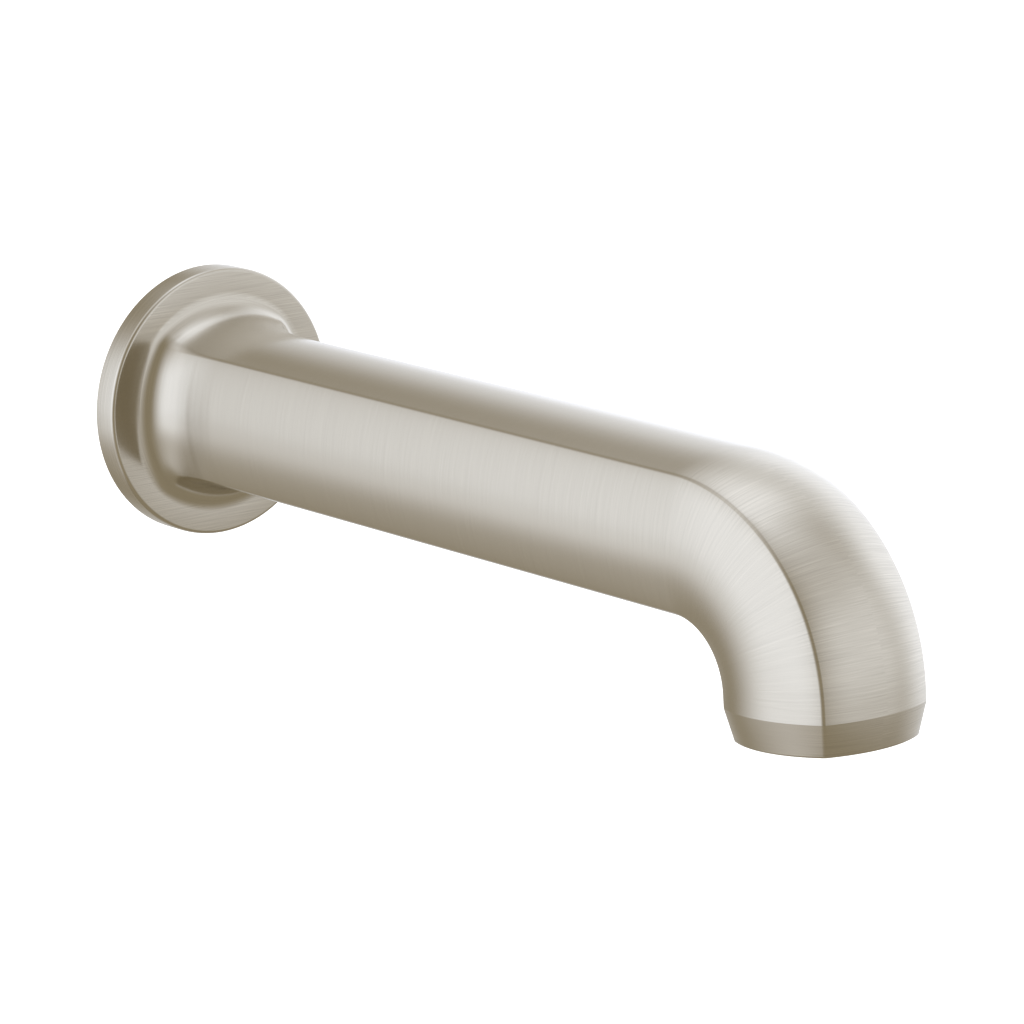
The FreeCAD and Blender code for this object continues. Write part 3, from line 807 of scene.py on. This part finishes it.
CELL_MERGE = 0.02
HEX_TURN = Matrix.Rotation(math.radians(30.0), 4, "Z")


class BATHSPOUT_OT_wall_gasket(bpy.types.Operator):
    """Build the foam gasket that the flange presses on the wall"""
    bl_idname = "bathspout.wall_gasket"
    bl_label = "Build the wall gasket"

    def execute(self, context):
        sizes = context.scene.bath_spout_fittings
        bm = bmesh.new()
        edge = GASKET_EDGE
        inner, outer, thick = sizes.gasket_in, sizes.gasket_out, sizes.gasket_thickness
        rings = ((inner, edge), (inner, thick - edge), (inner + edge, thick), (outer - edge, thick),
                 (outer, thick - edge), (outer, edge), (outer - edge, 0.0), (inner + edge, 0.0))
        skin(bm, [wall_circle(bm, radius, distance) for radius, distance in rings], closed=True)
        foam = closed_cell_foam(context.scene.bath_spout_colours.foam)
        add_piece("gasket", bm, foam, "spout", "wall_gasket")
        return {"FINISHED"}


class BATHSPOUT_OT_pipe_adapter(bpy.types.Operator):
    """Build the brass adapter: hexagon, barrel with its milled flat, grooved nose and pipe thread"""
    bl_idname = "bathspout.pipe_adapter"
    bl_label = "Build the pipe adapter"

    def execute(self, context):
        sizes = context.scene.bath_spout_fittings
        bm = bmesh.new()
        mouth, inner = thread_wall(bm, sizes.pipe_thread, sizes.pipe_thread + PIPE_THREAD_DEEP, PIPE_PITCH,
                                   THREAD_LEAD, sizes.pipe_thread_end - EDGE, TO_WALL)
        relief = sizes.pipe_thread + PIPE_THREAD_DEEP
        rings = [(relief, sizes.pipe_thread_end), (relief, sizes.relief_end), (sizes.water, sizes.relief_end),
                 (sizes.water, sizes.nose_end - EDGE), (sizes.water + EDGE, sizes.nose_end),
                 (sizes.nose - sizes.chamfer, sizes.nose_end), (sizes.nose, sizes.nose_end - sizes.chamfer)]
        for ring in (sizes.ring_front, sizes.ring_rear):
            rings += [(sizes.nose, ring + sizes.half_groove), (sizes.groove_floor, ring + sizes.half_groove),
                      (sizes.groove_floor, ring - sizes.half_groove), (sizes.nose, ring - sizes.half_groove)]
        rings += [(sizes.nose, sizes.barrel_end), (sizes.barrel - sizes.chamfer, sizes.barrel_end),
                  (sizes.barrel, sizes.barrel_end - sizes.chamfer), (sizes.barrel, sizes.flat_start),
                  (sizes.barrel, sizes.flat_start - EDGE), (sizes.barrel, sizes.hex_length)]
        loops = [inner]
        for radius, distance in rings:
            loop = wall_circle(bm, radius, distance)
            if sizes.flat_start <= distance <= sizes.barrel_end and radius > sizes.nose:
                mill_flat(loop, sizes.barrel - sizes.flat_depth)
            loops.append(loop)
        corner = sizes.hex_flats / math.sqrt(3.0)
        for radius, distance in ((corner, sizes.hex_length), (corner, 0.0)):
            loops.append(round_loop(bm, radius, wall_place(distance) @ HEX_TURN, steps=6))
        loops += [wall_circle(bm, relief, 0.0), mouth]
        skin(bm, loops, closed=False)
        brass = turned_metal("machined brass", context.scene.bath_spout_colours.brass, TO_WALL, 0.24)
        add_piece("adapter", bm, brass, "adapter", "pipe_adapter")
        return {"FINISHED"}


class BATHSPOUT_OT_set_screw(bpy.types.Operator):
    """Build the threaded set screw with its hexagon key socket"""
    bl_idname = "bathspout.set_screw"
    bl_label = "Build the set screw"

    def execute(self, context):
        sizes = context.scene.bath_spout_fittings
        low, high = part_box("set_screw")
        span, radius = high.z - low.z, sizes.screw
        foot = Matrix.Translation(((low.x + high.x) / 2.0, (low.y + high.y) / 2.0, low.z))

        def ring(size, height, steps=LOOP_STEPS):
            return round_loop(bm, size, foot @ Matrix.Translation((0.0, 0.0, height)), steps=steps)
        bm = bmesh.new()
        lower, upper = thread_wall(bm, radius, radius - SCREW_THREAD_DEEP, SCREW_PITCH, sizes.screw_chamfer,
                                   span - sizes.screw_chamfer, foot)
        tip = [upper, ring(SCREW_END * radius, span), ring(SCREW_CUP * radius, span),
               ring(SCREW_CUP_FLOOR * radius, span - sizes.screw_chamfer)]
        skin(bm, tip, closed=False)
        close_end(bm, tip[-1])
        key, deep = sizes.screw_key / math.sqrt(3.0), sizes.screw_key_depth
        socket = [lower, ring(SCREW_END * radius, 0.0), ring(KEY_MOUTH * key, 0.0), ring(key, EDGE, 6),
                  ring(key, deep, 6), ring(KEY_POINT * key, deep + EDGE, 6)]
        skin(bm, socket, closed=False)
        close_end(bm, socket[-1])
        bmesh.ops.recalc_face_normals(bm, faces=bm.faces[:])
        steel = turned_metal("screw steel", context.scene.bath_spout_colours.steel, SCREW_PLACE, 0.30)
        add_piece("set_screw_piece", bm, steel, "set_screw", "set_screw")
        return {"FINISHED"}


class BATHSPOUT_OT_outlet_insert(bpy.types.Operator):
    """Build the plated insert in the mouth: plate, threaded cup and the neck for the water tube"""
    bl_idname = "bathspout.outlet_insert"
    bl_label = "Build the outlet insert"

    def execute(self, context):
        shell, sizes = context.scene.bath_spout_shell, context.scene.bath_spout_fittings
        bm = bmesh.new()
        recess, thread_end = sizes.insert_recess, sizes.insert_thread_end
        thread, thread_root = sizes.insert_thread, sizes.insert_thread + INSERT_THREAD_DEEP
        lower, upper = thread_wall(bm, thread, thread_root, OUTLET_PITCH, recess + sizes.insert_chamfer,
                                   thread_end - EDGE, TO_OUTLET)
        roof, plate_top = thread_end + sizes.insert_roof, recess + sizes.insert_plate
        tube_way = sizes.tube + BRAZE_GAP
        inner = ((thread, thread_end), (sizes.tube_in, thread_end), (sizes.tube_in, roof), (tube_way, roof),
                 (tube_way, sizes.neck_top), (sizes.neck, sizes.neck_top), (sizes.neck, roof),
                 (sizes.cup, roof), (sizes.cup, plate_top))
        loops = [upper] + [outlet_circle(bm, radius, height) for radius, height in inner]
        for height, inset in ((plate_top, 0.0), (recess + EDGE, 0.0), (recess, EDGE)):
            loops.append(section_loop(bm, shell.half_width - shell.band_inset, shell.bulge,
                                      shell.band_crease_radius, -(shell.wall + BRAZE_GAP + inset),
                                      outlet_place(height)))
        loops += [outlet_circle(bm, thread + sizes.insert_chamfer, recess), lower]
        skin(bm, loops, closed=False)
        plated = turned_metal("plated brass", context.scene.bath_spout_colours.nickel, TO_OUTLET, 0.30)
        add_piece("insert", bm, plated, "spout", "outlet_insert")
        return {"FINISHED"}


class BATHSPOUT_OT_straightener_ring(bpy.types.Operator):
    """Build the ring that screws in at the outlet, with its key slots and thread"""
    bl_idname = "bathspout.straightener_ring"
    bl_label = "Build the straightener ring"

    def execute(self, context):
        sizes = context.scene.bath_spout_fittings
        low, collar = sizes.ring_low, sizes.ring_low + sizes.slot_depth
        top, lip_top = sizes.ring_top, sizes.ring_low + sizes.ring_lip_thick
        bm = bmesh.new()
        bottom, upper = thread_wall(bm, sizes.ring, sizes.ring - RING_THREAD_DEEP, OUTLET_PITCH,
                                    collar + EDGE, top - sizes.ring_chamfer, TO_OUTLET)
        rings = ((sizes.ring - sizes.ring_chamfer, top), (sizes.ring_bore, top), (sizes.ring_bore, lip_top),
                 (sizes.ring_lip + EDGE, lip_top), (sizes.ring_lip, lip_top - EDGE), (sizes.ring_lip, collar),
                 (sizes.ring_lip, low + EDGE), (sizes.ring_lip + EDGE, low),
                 (sizes.ring - sizes.ring_chamfer, low), (sizes.ring, low + sizes.ring_chamfer),
                 (sizes.ring, collar))
        loops = [upper] + [outlet_circle(bm, radius, height) for radius, height in rings] + [bottom]
        skin(bm, loops, closed=False)
        for slot in range(KEY_SLOTS):
            cut_key_slot(bm, sizes, (slot + 0.5) * TURN / KEY_SLOTS, collar)
        bmesh.ops.recalc_face_normals(bm, faces=bm.faces[:])
        plastic = moulded_plastic("ring plastic", context.scene.bath_spout_colours.plastic)
        add_piece("ring", bm, plastic, "straightener_ring", "straightener_ring")
        return {"FINISHED"}


class BATHSPOUT_OT_honeycomb_grid(bpy.types.Operator):
    """Build the honeycomb that straightens the water"""
    bl_idname = "bathspout.honeycomb_grid"
    bl_label = "Build the honeycomb grid"

    def execute(self, context):
        sizes = context.scene.bath_spout_fittings
        bm = bmesh.new()
        corner = sizes.grid_pitch / math.sqrt(3.0)
        reach = sizes.stack - sizes.grid_rim - sizes.grid_cell / math.sqrt(3.0)
        count = int(reach / sizes.grid_pitch) + 1
        for column in range(-count, count + 1):
            for row in range(-count - 1, count + 2):
                x = sizes.grid_pitch * column * math.sqrt(3.0) / 2.0
                y = sizes.grid_pitch * (row + 0.5 * (column % 2))
                if math.hypot(x, y) <= reach:
                    bmesh.ops.create_circle(bm, cap_ends=True, radius=corner, segments=6,
                                            matrix=Matrix.Translation((x, y, 0.0)) @ HEX_TURN)
        bmesh.ops.remove_doubles(bm, verts=bm.verts[:], dist=CELL_MERGE * corner)
        cells = bm.faces[:]
        wall = (sizes.grid_pitch - sizes.grid_cell) / 2.0
        bmesh.ops.inset_individual(bm, faces=cells, thickness=wall, use_even_offset=True)
        outline = open_edges(bm)
        bmesh.ops.delete(bm, geom=cells, context="FACES")
        outline = [edge for edge in outline if edge.is_valid]
        rim = round_loop(bm, sizes.stack, Matrix.Identity(4), steps=len(outline))
        skin(bm, [outline, rim], closed=False)
        raised = bmesh.ops.extrude_face_region(bm, geom=bm.faces[:])["geom"]
        bmesh.ops.translate(bm, vec=(0.0, 0.0, sizes.grid_thick), verts=only_verts(raised))
        bmesh.ops.transform(bm, matrix=outlet_place(sizes.grid_low), verts=bm.verts[:])
        bmesh.ops.recalc_face_normals(bm, faces=bm.faces[:])
        plastic = moulded_plastic("grid plastic", context.scene.bath_spout_colours.plastic)
        add_piece("honeycomb", bm, plastic, "straightener", "honeycomb_grid")
        return {"FINISHED"}


class BATHSPOUT_OT_screens(bpy.types.Operator):
    """Weave the three wire screens over the honeycomb"""
    bl_idname = "bathspout.screens"
    bl_label = "Weave the screens"

    def execute(self, context):
        sizes = context.scene.bath_spout_fittings
        wire = turned_metal("screen wire", context.scene.bath_spout_colours.steel, TO_OUTLET, 0.28)
        for name, height in (("lower", sizes.screen_lower), ("middle", sizes.screen_middle),
                             ("upper", sizes.screen_upper)):
            bm = bmesh.new()
            weave(bm, sizes, height)
            add_piece("woven_screen_" + name, bm, wire, "straightener", "screen_" + name)
        return {"FINISHED"}


class BATHSPOUT_OT_inner_finishes(bpy.types.Operator):
    """Finish the inner pieces that keep the frame's own shape"""
    bl_idname = "bathspout.inner_finishes"
    bl_label = "Finish the inner pieces"

    def execute(self, context):
        colours = context.scene.bath_spout_colours
        rubber = moulded_rubber(colours.rubber)
        grid = moulded_plastic("spacer plastic", colours.plastic)
        finishes = {"inlet_socket": turned_metal("socket brass", colours.brass, TO_WALL, 0.30),
                    "waterway_tube": drawn_copper(colours.copper),
                    "pipe_washer": rubber, "nose_ring_rear": rubber, "nose_ring_front": rubber,
                    "inlet_washer": rubber, "strainer_dome": grid, "spacer_upper": grid, "spacer_lower": grid}
        for name, material in finishes.items():
            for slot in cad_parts[name].material_slots:
                slot.material = material
        return {"FINISHED"}


def close_end(bm, loop):
    """Close a small round opening with a pole."""
    face = bmesh.ops.contextual_create(bm, geom=list(loop))["faces"]
    bmesh.ops.poke(bm, faces=face)


def mill_flat(loop, level):
    """Flatten the underside of a round loop."""
    for vert in {vert for edge in loop for vert in edge.verts}:
        vert.co.z = max(vert.co.z, -level)


def thread_wall(bm, crest, root, pitch, low, high, matrix):
    """Wind a screw thread between two heights; gives back its lower and its upper edge loop."""
    turns = math.ceil((high - low) / pitch) + 2
    profile = ((root, 0.0), (crest, THREAD_FLANK), (crest, THREAD_FLANK + THREAD_CREST), (root, 1.0))
    verts = [bm.verts.new((radius, 0.0, low + (share - 1.5) * pitch)) for radius, share in profile]
    edges = [bm.edges.new(pair) for pair in zip(verts, verts[1:])]
    start = verts[0]
    bmesh.ops.spin(bm, geom=verts + edges, cent=(0, 0, 0), axis=(0, 0, 1), dvec=(0, 0, pitch / THREAD_STEPS),
                   angle=TURN * turns, steps=THREAD_STEPS * turns)
    wound = joined_to(start)
    bmesh.ops.remove_doubles(bm, verts=list(wound), dist=pitch / 200.0)
    wound = joined_to(next(vert for vert in wound if vert.is_valid))
    borders = []
    for height, way in ((low, 1.0), (high, -1.0)):
        edges = {edge for vert in wound for edge in vert.link_edges}
        faces = {face for vert in wound for face in vert.link_faces}
        cut = bmesh.ops.bisect_plane(bm, geom=list(wound) + list(edges) + list(faces), dist=pitch / 500.0,
                                     plane_co=(0, 0, height), plane_no=(0, 0, way), clear_inner=True)
        border = [part for part in cut["geom_cut"] if isinstance(part, bmesh.types.BMEdge)]
        borders.append(border)
        wound = joined_to(border[0].verts[0])
    bmesh.ops.transform(bm, matrix=matrix, verts=list(wound))
    return borders


def cut_key_slot(bm, sizes, middle, roof):
    """Open a slot across the ring's lower face, then give it sides and a roof."""
    back = TO_OUTLET.inverted()
    half = (SLOT_STEPS / 2.0 + SLOT_MARGIN) * TURN / LOOP_STEPS
    patch = []
    for face in bm.faces:
        spot = back @ face.calc_center_median()
        aside = (math.atan2(spot.y, spot.x) - middle + math.pi) % TURN - math.pi
        low_down = spot.z < roof - MERGE
        if abs(aside) < half and low_down and math.hypot(spot.x, spot.y) > sizes.ring_lip - EDGE:
            patch.append(face)
    bmesh.ops.delete(bm, geom=patch, context="FACES")
    roof_edges = [edge for edge in open_edges(bm)
                  if all(abs((back @ vert.co).z - roof) < NEAR for vert in edge.verts)]
    inner = [edge for edge in roof_edges if (back @ edge.verts[0].co).xy.length < sizes.ring_bore]
    outer = [edge for edge in roof_edges if edge not in inner]
    bmesh.ops.bridge_loops(bm, edges=inner + outer)
    bmesh.ops.holes_fill(bm, edges=open_edges(bm), sides=0)


def weave(bm, sizes, height):
    """Weave wires both ways across the stack, each wire over one and under the next."""
    pitch, wire = sizes.wire_pitch, sizes.wire
    count = 2 * (int(sizes.stack / pitch) + 1)
    loops = []
    for step in range(2 * count + 1):
        along = (step - count) * pitch / 2.0
        lift = WIRE_LIFT * wire * math.cos(math.pi * step / 2.0)
        matrix = Matrix.Translation((along, 0.0, lift)) @ Matrix.Rotation(SQUARE, 4, "Y")
        loops.append(round_loop(bm, wire, matrix, steps=WIRE_SIDES))
    skin(bm, loops, closed=False)
    first = bm.verts[:] + bm.edges[:] + bm.faces[:]
    for row in range(-count // 2, count // 2 + 1):
        copy = bmesh.ops.duplicate(bm, geom=first)["geom"]
        bmesh.ops.translate(bm, verts=only_verts(copy), vec=((row % 2) * pitch, row * pitch, 0.0))
    bmesh.ops.delete(bm, geom=only_verts(first), context="VERTS")
    copy = bmesh.ops.duplicate(bm, geom=bm.verts[:] + bm.edges[:] + bm.faces[:])["geom"]
    verts = only_verts(copy)
    bmesh.ops.rotate(bm, verts=verts, cent=(0, 0, 0), matrix=Matrix.Rotation(SQUARE, 3, "Z"))
    bmesh.ops.translate(bm, verts=verts, vec=(pitch, 0.0, 0.0))
    outside = [vert for vert in bm.verts if vert.co.xy.length > sizes.stack - wire]
    bmesh.ops.delete(bm, geom=outside, context="VERTS")
    bare = [edge for edge in bm.edges if not edge.link_faces]
    bmesh.ops.delete(bm, geom=bare, context="EDGES")
    bmesh.ops.holes_fill(bm, edges=open_edges(bm), sides=0)
    bmesh.ops.recalc_face_normals(bm, faces=bm.faces[:])
    bmesh.ops.transform(bm, matrix=outlet_place(height), verts=bm.verts[:])


# ------------------------------------------------------------------ operators: the stage
FLOOR_DROP = 1.5
FLOOR_RADIUS = 60.0
CAMERA_AT = (-0.724366, -0.96818, 0.255342)
CAMERA_AZIMUTH = math.radians(-40.594)
CAMERA_ELEVATION = math.radians(13.342)
CAMERA_LENS = 166.247
SENSOR_WIDTH = 36.0
# Soft studio panels round the spout: azimuth and elevation of the middle, half width and half height,
# softness of the sides and of the top and bottom, all in degrees, then the panel's brightness.
PANELS = (
    (-110.9, 4.0, 37.1, 23.7, 25.3, 13.1, (0.562, 0.585, 0.617)),
    (107.3, 9.8, 35.0, 30.0, 17.7, 18.9, (0.561, 0.582, 0.612)),
    (30.0, 16.6, 38.3, 32.6, 22.4, 27.2, (0.366, 0.376, 0.389)),
    (124.1, 89.3, 176.2, 20.0, 100.0, 32.5, (0.611, 0.631, 0.661)),
    (131.4, 59.6, 45.7, 18.0, 26.9, 16.0, (0.253, 0.261, 0.271)),
    (-112.4, -33.5, 34.9, 17.8, 40.3, 5.3, (0.226, 0.228, 0.233)),
    (-114.1, 42.8, 26.2, 16.7, 40.6, 13.5, (0.335, 0.341, 0.351)),
    (136.2, -36.6, 12.6, 40.3, 46.3, 10.2, (0.311, 0.325, 0.347)),
)
ROOM_LIGHT = (0.218, 0.179, 0.113)
NICKEL_REFLECTS = (0.640, 0.605, 0.535)
BACKDROP = 1.0


class BATHSPOUT_OT_stage(bpy.types.Operator):
    """Set the pale floor, the soft studio lights and the camera"""
    bl_idname = "bathspout.stage"
    bl_label = "Set the stage"

    def execute(self, context):
        set_floor()
        set_lights(context.scene)
        set_camera(context.scene)
        return {"FINISHED"}


def set_floor():
    bm = bmesh.new()
    bmesh.ops.create_circle(bm, cap_ends=True, radius=FLOOR_RADIUS, segments=64,
                            matrix=Matrix.Translation((0.0, 0.0, -FLOOR_DROP)))
    nodes = Material("pale floor")
    nodes.shade(Base_Color=(0.8, 0.8, 0.8, 1.0), Roughness=0.9,
                Emission_Color=(1.0, 1.0, 1.0, 1.0), Emission_Strength=0.95)
    floor = new_object("floor", bm, nodes.material)
    floor.visible_glossy = False


def set_lights(scene):
    """Light the spout with soft panels on a dim warm room; the camera sees a white backdrop instead."""
    world = bpy.data.worlds.new("studio")
    world.use_nodes = True
    nodes = Nodes(world.node_tree)

    def glow(mirrored):
        """What a panel shines for the nickel to mirror this colour."""
        return tuple(channel / base for channel, base in zip(mirrored, NICKEL_REFLECTS)) + (1.0,)

    def edge(offset, half, soft):
        half, soft = math.radians(half), math.radians(soft)
        return nodes.spread(nodes.math("ABSOLUTE", offset), half - soft, half + soft, 1.0, 0.0,
                            interpolation_type="SMOOTHSTEP")

    x, y, z = nodes.parts(nodes.here("Generated"))
    azimuth = nodes.math("ARCTAN2", x, nodes.math("MULTIPLY", y, -1.0))
    elevation = nodes.math("ARCSINE", z)
    light = glow(ROOM_LIGHT)
    for middle, height, wide, high, soft_sides, soft_ends, brightness in PANELS:
        aside = nodes.math("SUBTRACT", azimuth, math.radians(middle))
        above = nodes.math("SUBTRACT", elevation, math.radians(height))
        shape = nodes.math("MULTIPLY", edge(nodes.math("WRAP", aside, math.pi, -math.pi), wide, soft_sides),
                           edge(above, high, soft_ends))
        light = nodes.mix(shape, light, glow(brightness), blend="ADD")
    seen = nodes.add("ShaderNodeLightPath").outputs["Is Camera Ray"]
    final = nodes.mix(seen, light, (BACKDROP, BACKDROP, BACKDROP, 1.0))
    nodes.feed(nodes.tree.nodes["Background"].inputs["Color"], final)
    scene.world = world
    scene.view_settings.view_transform = "Standard"


def set_camera(scene):
    turn, level = CAMERA_AZIMUTH, math.cos(CAMERA_ELEVATION)
    back = Vector((math.sin(turn) * level, -math.cos(turn) * level, math.sin(CAMERA_ELEVATION)))
    data = bpy.data.cameras.new("camera")
    data.sensor_width = SENSOR_WIDTH
    data.lens = CAMERA_LENS
    camera = bpy.data.objects.new("camera", data)
    scene.collection.objects.link(camera)
    camera.location = CAMERA_AT
    camera.rotation_mode = "QUATERNION"
    camera.rotation_quaternion = (-back).to_track_quat("-Z", "Y")
    scene.camera = camera


# ------------------------------------------------------------------ the add-on
class BATHSPOUT_PT_panel(bpy.types.Panel):
    """Sizes, colours and the operators that build the spout"""
    bl_label = "Bath spout"
    bl_space_type = "VIEW_3D"
    bl_region_type = "UI"
    bl_category = "Bath spout"

    def draw(self, context):
        for group in (context.scene.bath_spout_shell, context.scene.bath_spout_fittings,
                      context.scene.bath_spout_colours):
            box = self.layout.box()
            for name in group.__annotations__:
                box.prop(group, name)
        for operator in STEPS:
            self.layout.operator(operator.bl_idname)


STEPS = (BATHSPOUT_OT_stage, BATHSPOUT_OT_shell, BATHSPOUT_OT_wall_gasket, BATHSPOUT_OT_pipe_adapter,
         BATHSPOUT_OT_set_screw, BATHSPOUT_OT_outlet_insert, BATHSPOUT_OT_straightener_ring,
         BATHSPOUT_OT_honeycomb_grid, BATHSPOUT_OT_screens, BATHSPOUT_OT_inner_finishes)
GROUPS = {"bath_spout_shell": SpoutShellSizes, "bath_spout_fittings": FittingSizes,
          "bath_spout_colours": SpoutColours}


def register():
    for group in GROUPS.values():
        bpy.utils.register_class(group)
    for name, group in GROUPS.items():
        setattr(bpy.types.Scene, name, bpy.props.PointerProperty(type=group))
    for operator in STEPS:
        bpy.utils.register_class(operator)
    bpy.utils.register_class(BATHSPOUT_PT_panel)


def unregister():
    bpy.utils.unregister_class(BATHSPOUT_PT_panel)
    for operator in reversed(STEPS):
        bpy.utils.unregister_class(operator)
    for name in GROUPS:
        delattr(bpy.types.Scene, name)
    for group in GROUPS.values():
        bpy.utils.unregister_class(group)


def main():
    register()
    for operator in STEPS:
        category, name = operator.bl_idname.split(".")
        getattr(getattr(bpy.ops, category), name)()


if __name__ == "__main__":
    main()
